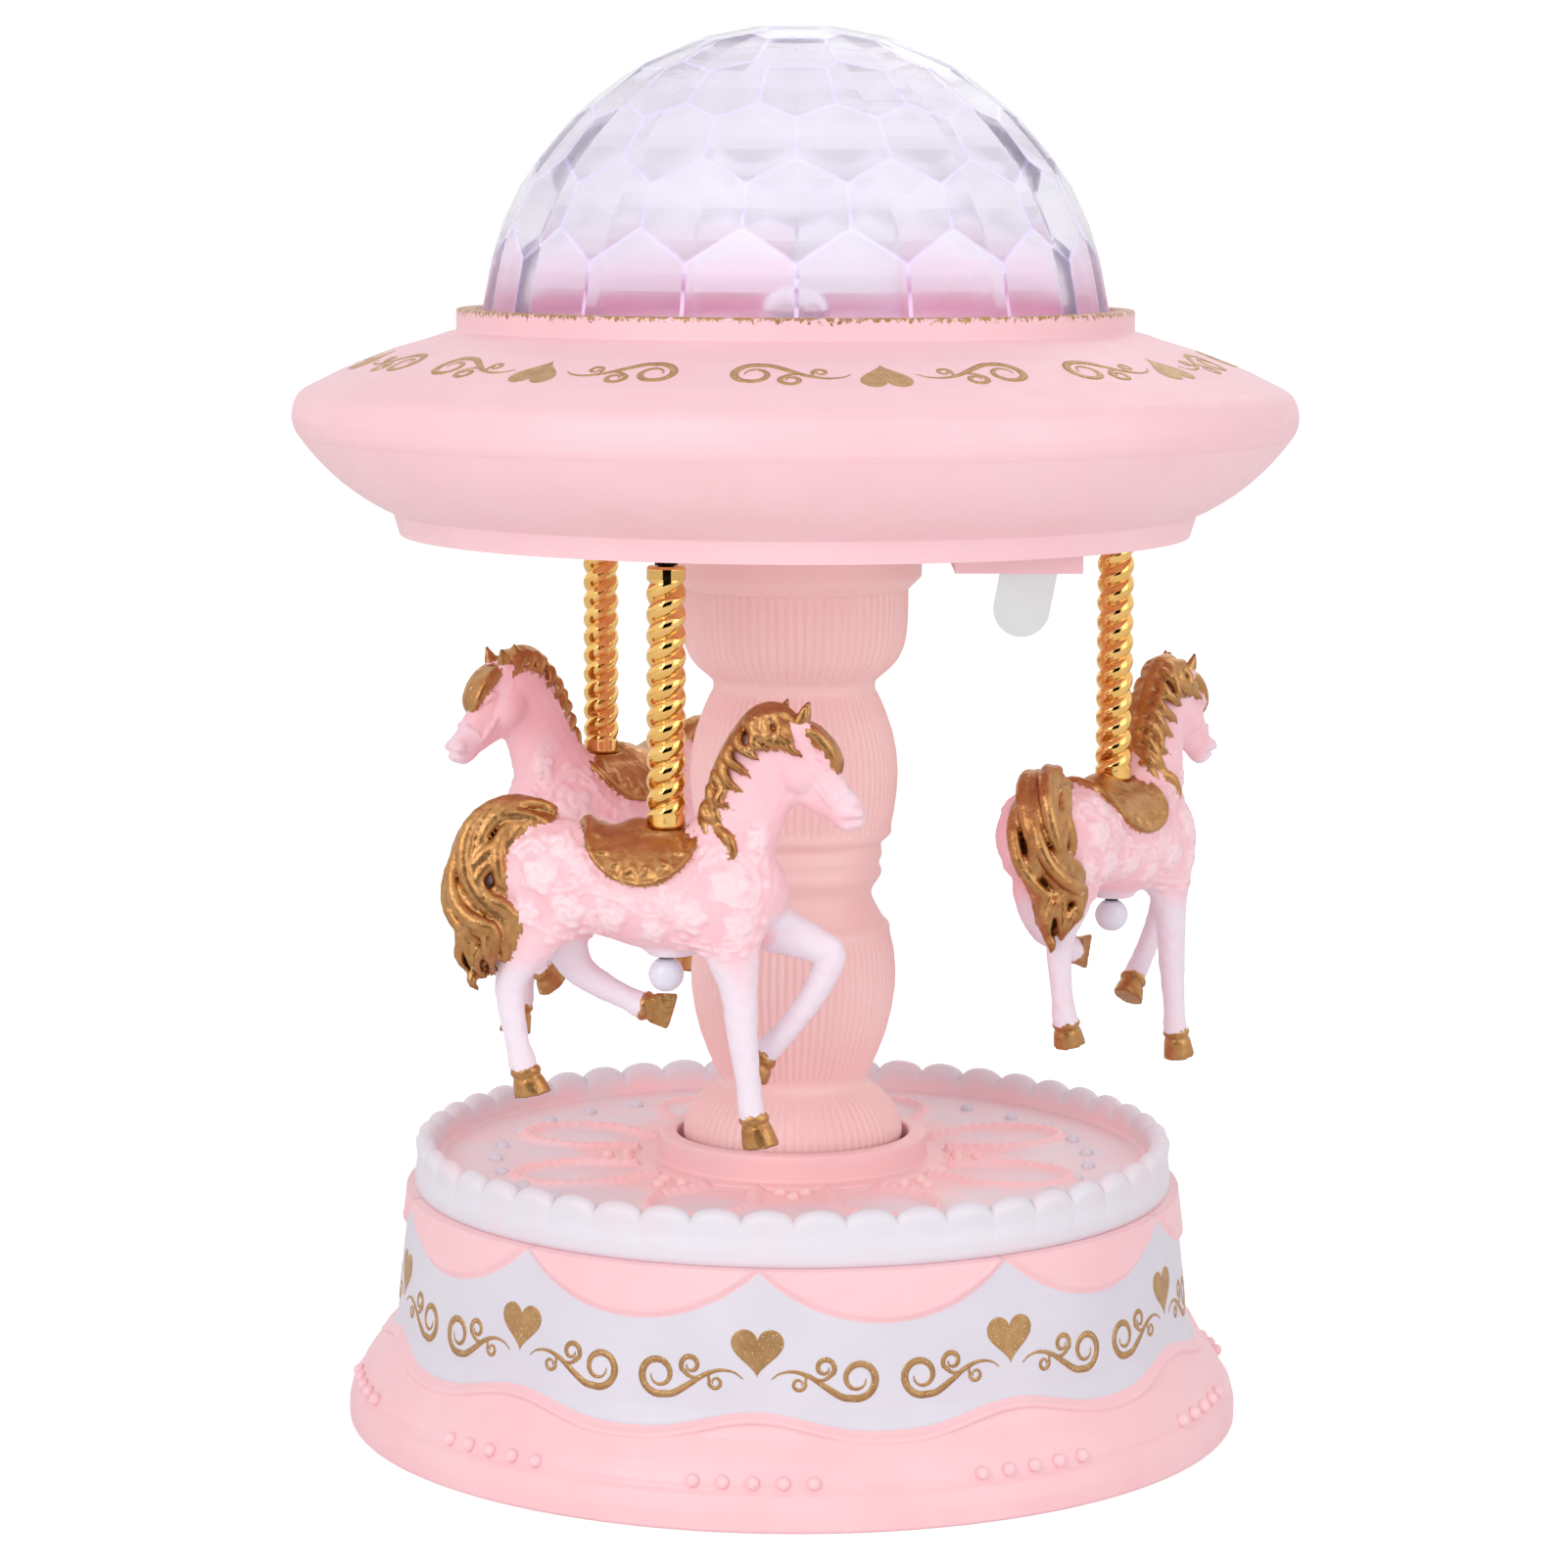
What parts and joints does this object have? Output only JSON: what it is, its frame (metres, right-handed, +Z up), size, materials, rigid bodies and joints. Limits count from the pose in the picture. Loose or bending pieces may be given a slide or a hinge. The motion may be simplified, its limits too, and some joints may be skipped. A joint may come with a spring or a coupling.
{
  "type": "carousel music box",
  "caption": "Wind-up carousel music box: round base with a spring movement, turning column and lit domed canopy carrying horses on poles.",
  "frame": {"origin": "middle of the base at the surface it stands on", "axes": "+Z up along the column, -Y towards the front seen in the picture, +X to the right"},
  "size_m": [0.12, 0.12, 0.1675],
  "materials": {
    "pink_plastic": "satin painted moulding",
    "white_plastic": "satin enamel",
    "coral_plastic": "satin moulding",
    "cover_plastic": "matte moulding",
    "clear_plastic": "clear polished",
    "tab_film": "clear film",
    "gold_plated": "bright gold plating",
    "dark_steel": "blackened",
    "pearl": "pearl lacquer",
    "horse_paint": "hand painted, gold mane, saddle and hooves",
    "steel": "zinc plated",
    "brass": "turned",
    "cast_bed": "die cast",
    "white_nylon": "moulded",
    "dark_plastic": "moulded",
    "circuit_board": "solder mask",
    "wire_cover": "extruded"
  },
  "bodies": {
    "base": {"base_shell": "pink_plastic", "stage_plate": "white_plastic", "base_cover": "cover_plastic", "cover_screws": "steel", "stage_screws": "steel", "bedplate": "cast_bed", "bedplate_screws": "steel", "comb": "steel", "comb_screws": "steel", "governor_bracket": "steel", "bracket_screw": "steel", "column_bush": "white_nylon"},
    "carousel": {"barrel_lid": "brass", "battery_contacts": "steel", "battery_door": "pink_plastic", "battery_door_screw": "steel", "board_screws": "steel", "button_cells": "steel", "canopy_lower": "pink_plastic", "canopy_screws": "steel", "canopy_upper": "pink_plastic", "column": "coral_plastic", "column_clip": "steel", "column_flange": "coral_plastic", "column_screw": "steel", "dome": "clear_plastic", "drive_shaft": "steel", "flange_screws": "steel", "lamp_board": "circuit_board", "lamp_lens": "clear_plastic", "lamp_plate": "pink_plastic", "lamp_wires": "wire_cover", "leds": "clear_plastic", "mainspring": "steel", "pole_bead_1": "pearl", "pole_bead_2": "pearl", "pole_bead_3": "pearl", "pole_nuts": "steel", "pole_rod_1": "dark_steel", "pole_rod_2": "dark_steel", "pole_rod_3": "dark_steel", "pole_sleeve_1": "gold_plated", "pole_sleeve_2": "gold_plated", "pole_sleeve_3": "gold_plated", "spring_barrel": "brass", "switch_body": "dark_plastic"},
    "winding_key": {"winding_arbor": "steel", "winding_key": "steel"},
    "cylinder": {"pin_cylinder": "brass", "cylinder_arbor": "steel", "cylinder_gear": "brass"},
    "governor_wheel": {"governor_arbor": "steel", "worm_wheel": "brass"},
    "governor": {"governor_worm": "steel", "governor_fan": "white_nylon"},
    "horse_1": {"horse_1": "horse_paint"},
    "horse_2": {"horse_2": "horse_paint"},
    "horse_3": {"horse_3": "horse_paint"},
    "light_switch": {"switch_knob": "dark_plastic"},
    "pull_tab": {"pull_tab": "tab_film"}
  },
  "joints": [
    {"name": "carousel_spin", "type": "hinge", "parent": "base", "child": "carousel", "pos_m": [0, 0, 0.0316], "axis": [0, 0, 1], "continuous": true},
    {"name": "key_turn", "type": "hinge", "parent": "base", "child": "winding_key", "pos_m": [0, 0, 0.0105], "axis": [0, 0, 1], "range_deg": [0, 1890]},
    {"name": "cylinder_spin", "type": "hinge", "parent": "base", "child": "cylinder", "pos_m": [0, -0.0242, 0.02275], "axis": [0, -1, 0], "continuous": true},
    {"name": "governor_wheel_spin", "type": "hinge", "parent": "base", "child": "governor_wheel", "pos_m": [-0.007, -0.0343, 0.02275], "axis": [0, -1, 0], "continuous": true},
    {"name": "governor_spin", "type": "hinge", "parent": "base", "child": "governor", "pos_m": [-0.0134, -0.0371, 0.02], "axis": [0, 0, 1], "continuous": true},
    {"name": "horse_1_swivel", "type": "hinge", "parent": "carousel", "child": "horse_1", "pos_m": [0.03907, 0.00584, 0.07], "axis": [0, 0, 1], "continuous": true},
    {"name": "horse_2_swivel", "type": "hinge", "parent": "carousel", "child": "horse_2", "pos_m": [-0.02459, 0.03091, 0.07], "axis": [0, 0, 1], "continuous": true},
    {"name": "horse_3_swivel", "type": "hinge", "parent": "carousel", "child": "horse_3", "pos_m": [-0.01448, -0.03675, 0.07], "axis": [0, 0, 1], "continuous": true},
    {"name": "switch_slide", "type": "slide", "parent": "carousel", "child": "light_switch", "axis": [1, 0, 0], "range_m": [0, 0.003]},
    {"name": "tab_pull", "type": "slide", "parent": "carousel", "child": "pull_tab", "axis": [-0.1822, 0, -0.9833], "range_m": [0, 0.012]}
  ],
  "couplings": [
    {"joint": "cylinder_spin", "follows": "carousel_spin", "ratio": 4},
    {"joint": "governor_wheel_spin", "follows": "carousel_spin", "ratio": -12},
    {"joint": "governor_spin", "follows": "carousel_spin", "ratio": -288}
  ]
}
